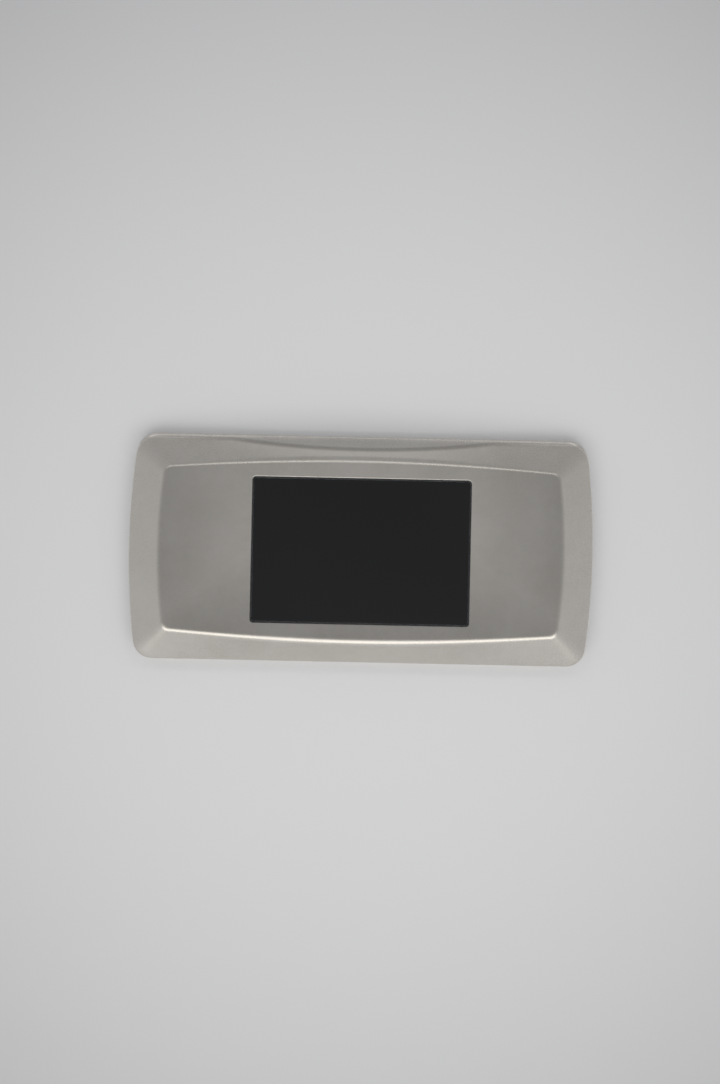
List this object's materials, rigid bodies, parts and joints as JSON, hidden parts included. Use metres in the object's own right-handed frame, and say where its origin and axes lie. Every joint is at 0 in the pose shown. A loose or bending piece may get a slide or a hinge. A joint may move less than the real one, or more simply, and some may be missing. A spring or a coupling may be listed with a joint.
{
  "type": "hmi touch panel",
  "caption": "Wide operator touch panel with a pressed satin stainless cover, a raised plateau, a central black glass display window and a folded rear tray with a port bay.",
  "frame": {"origin": "middle of the back, in the plane of the foot band that the panel rests on", "axes": "+Z out of the front face, +X to the operator's right, +Y towards the panel's top edge"},
  "size_m": [0.35, 0.1706, 0.03],
  "materials": {
    "cover_steel": "satin pressed stainless steel, fine non-directional grain, warm grey",
    "tray_steel": "satin folded stainless steel, fine grain",
    "seal_rubber": "matt black silicone rubber",
    "black_glass": "smooth cover glass, printed black behind",
    "adhesive": "black acrylic foam tape",
    "display_glass": "dark display glass, smooth",
    "galvanised": "zinc-coated sheet steel, dull",
    "white_film": "white diffuser film",
    "acrylic": "clear acrylic light guide",
    "white_plastic": "moulded off-white plastic",
    "aluminium": "plain satin aluminium",
    "black_plastic": "moulded black plastic",
    "green_plastic": "moulded green plastic",
    "port_shell": "bright tinned steel shell",
    "board": "green solder mask over glass laminate",
    "flex_film": "amber flexible circuit film",
    "battery_steel": "bright nickel-plated cell",
    "zinc_fastener": "bright zinc-plated steel"
  },
  "bodies": {
    "panel": {"backlight_tray": "aluminium", "battery_holder": "black_plastic", "board_screw_1": "zinc_fastener", "board_screw_2": "zinc_fastener", "board_screw_3": "zinc_fastener", "board_screw_4": "zinc_fastener", "board_standoff_1": "zinc_fastener", "board_standoff_2": "zinc_fastener", "board_standoff_3": "zinc_fastener", "board_standoff_4": "zinc_fastener", "buzzer": "black_plastic", "card_socket": "galvanised", "carrier_tape": "adhesive", "case_screw_1": "zinc_fastener", "case_screw_2": "zinc_fastener", "case_screw_3": "zinc_fastener", "case_screw_4": "zinc_fastener", "clock_battery": "battery_steel", "controller_board": "board", "cover_pillar_1": "zinc_fastener", "cover_pillar_2": "zinc_fastener", "cover_pillar_3": "zinc_fastener", "cover_pillar_4": "zinc_fastener", "diffuser_sheet": "white_film", "display_carrier": "galvanised", "display_film": "flex_film", "edge_seal": "seal_rubber", "ethernet_jack": "port_shell", "film_connector": "white_plastic", "front_cover": "cover_steel", "heat_block": "aluminium", "lcd_bezel": "galvanised", "lcd_cell": "display_glass", "led_bar": "white_plastic", "left_bracket": "galvanised", "light_guide": "acrylic", "mode_switch": "black_plastic", "power_inlet": "green_plastic", "processor": "black_plastic", "rear_tray": "tray_steel", "reset_switch": "black_plastic", "right_bracket": "galvanised", "serial_port": "black_plastic", "stud_nut_1": "zinc_fastener", "stud_nut_2": "zinc_fastener", "stud_nut_3": "zinc_fastener", "stud_nut_4": "zinc_fastener", "touch_glass": "black_glass", "touch_sensor": "display_glass", "usb_port": "port_shell", "weld_stud_1": "zinc_fastener", "weld_stud_2": "zinc_fastener", "weld_stud_3": "zinc_fastener", "weld_stud_4": "zinc_fastener", "window_seal": "seal_rubber"},
    "memory_card": {"memory_card": "black_plastic"},
    "mode_lever_1": {"mode_lever_1": "white_plastic"},
    "mode_lever_2": {"mode_lever_2": "white_plastic"},
    "reset_button": {"reset_button": "white_plastic"}
  },
  "joints": [
    {"name": "reset_press", "type": "slide", "parent": "panel", "child": "reset_button", "axis": [0, 0, 1], "range_m": [0, 0.0006], "stiffness_N_per_m": 2500, "springref_m": -0.0004},
    {"name": "card_slide", "type": "slide", "parent": "panel", "child": "memory_card", "axis": [0, -1, 0], "range_m": [0, 0.027]},
    {"name": "mode_slide_1", "type": "slide", "parent": "panel", "child": "mode_lever_1", "axis": [0, 1, 0], "range_m": [0, 0.0015]},
    {"name": "mode_slide_2", "type": "slide", "parent": "panel", "child": "mode_lever_2", "axis": [0, 1, 0], "range_m": [0, 0.0015]}
  ]
}
